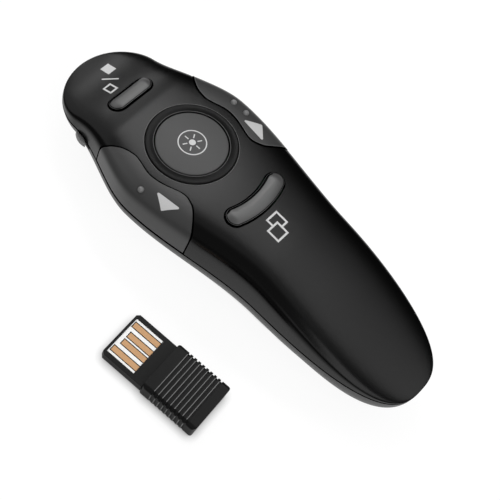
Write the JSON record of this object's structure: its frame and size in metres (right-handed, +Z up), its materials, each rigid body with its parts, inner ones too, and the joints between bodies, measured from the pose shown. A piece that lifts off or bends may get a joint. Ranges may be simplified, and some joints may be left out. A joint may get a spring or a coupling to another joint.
{
  "type": "wireless presentation clicker",
  "caption": "Slim crowned handheld presentation clicker with a round main button, two winged side keys, a straight and a curved key, and a USB receiver lying beside it.",
  "frame": {"origin": "on the floor plane, in the middle of the clicker's rest face", "axes": "+X from the laser end to the tail, +Y towards the next key's side, +Z up from the rest face"},
  "size_m": [0.104, 0.0599, 0.0215],
  "materials": {
    "shell": "satin soft-touch",
    "shell_lower": "satin",
    "ring": "gloss",
    "key": "satin",
    "disc": "satin",
    "board": "lacquer",
    "chip": "matte",
    "steel": "satin",
    "nickel": "polished",
    "brass": "satin",
    "lens": "clear",
    "bezel": "satin",
    "plunger": "matte",
    "battery": "gloss",
    "ceramic": "matte",
    "receiver": "satin",
    "insulator": "satin",
    "contact": "satin"
  },
  "bodies": {
    "case": {"upper_shell": "shell", "lower_shell": "shell_lower", "button_ring": "ring", "circuit_board": "board", "switch_bodies": "steel", "power_switch": "steel", "controller_chip": "chip", "radio_chip": "chip", "crystal": "nickel", "capacitors": "ceramic", "laser_module": "brass", "laser_lens": "lens", "nose_bezel": "bezel", "board_screws": "steel", "case_screws": "steel", "battery": "battery", "battery_spring": "nickel", "battery_contact": "nickel"},
    "laser_press": {"laser_button": "disc", "laser_plunger": "plunger"},
    "previous_press": {"previous_key": "key", "previous_plunger": "plunger"},
    "next_press": {"next_key": "key", "next_plunger": "plunger"},
    "screen_press": {"screen_key": "key", "screen_plunger": "plunger"},
    "window_press": {"window_key": "key", "window_plunger": "plunger"},
    "slider": {"power_slider": "key"},
    "door": {"battery_door": "shell_lower"},
    "receiver": {"receiver_grip": "receiver", "receiver_plug_frame": "receiver", "receiver_insulator": "insulator", "receiver_contacts": "contact", "receiver_board": "board", "receiver_chip": "chip"}
  },
  "joints": [
    {"name": "laser_press_slide", "type": "slide", "parent": "case", "child": "laser_press", "axis": [-0.1305, 0, 0.9914], "range_m": [-0.00025, 0], "stiffness_N_per_m": 2000, "springref_m": 0.0003},
    {"name": "previous_press_slide", "type": "slide", "parent": "case", "child": "previous_press", "axis": [-0.1305, 0, 0.9914], "range_m": [-0.00025, 0], "stiffness_N_per_m": 2000, "springref_m": 0.0003},
    {"name": "next_press_slide", "type": "slide", "parent": "case", "child": "next_press", "axis": [-0.1305, 0, 0.9914], "range_m": [-0.00025, 0], "stiffness_N_per_m": 2000, "springref_m": 0.0003},
    {"name": "screen_press_slide", "type": "slide", "parent": "case", "child": "screen_press", "axis": [-0.1305, 0, 0.9914], "range_m": [-0.00025, 0], "stiffness_N_per_m": 2000, "springref_m": 0.0003},
    {"name": "window_press_slide", "type": "slide", "parent": "case", "child": "window_press", "axis": [-0.1305, 0, 0.9914], "range_m": [-0.00025, 0], "stiffness_N_per_m": 2000, "springref_m": 0.0003},
    {"name": "power_slide", "type": "slide", "parent": "case", "child": "slider", "axis": [0.9741, -0.2261, 0], "range_m": [0, 0.002]},
    {"name": "battery_door_slide", "type": "slide", "parent": "case", "child": "door", "axis": [1, 0, 0], "range_m": [0, 0.03]},
    {"name": "receiver_lift", "type": "slide", "parent": "case", "child": "receiver", "axis": [0, 0, 1], "range_m": [0, 0.05]}
  ]
}
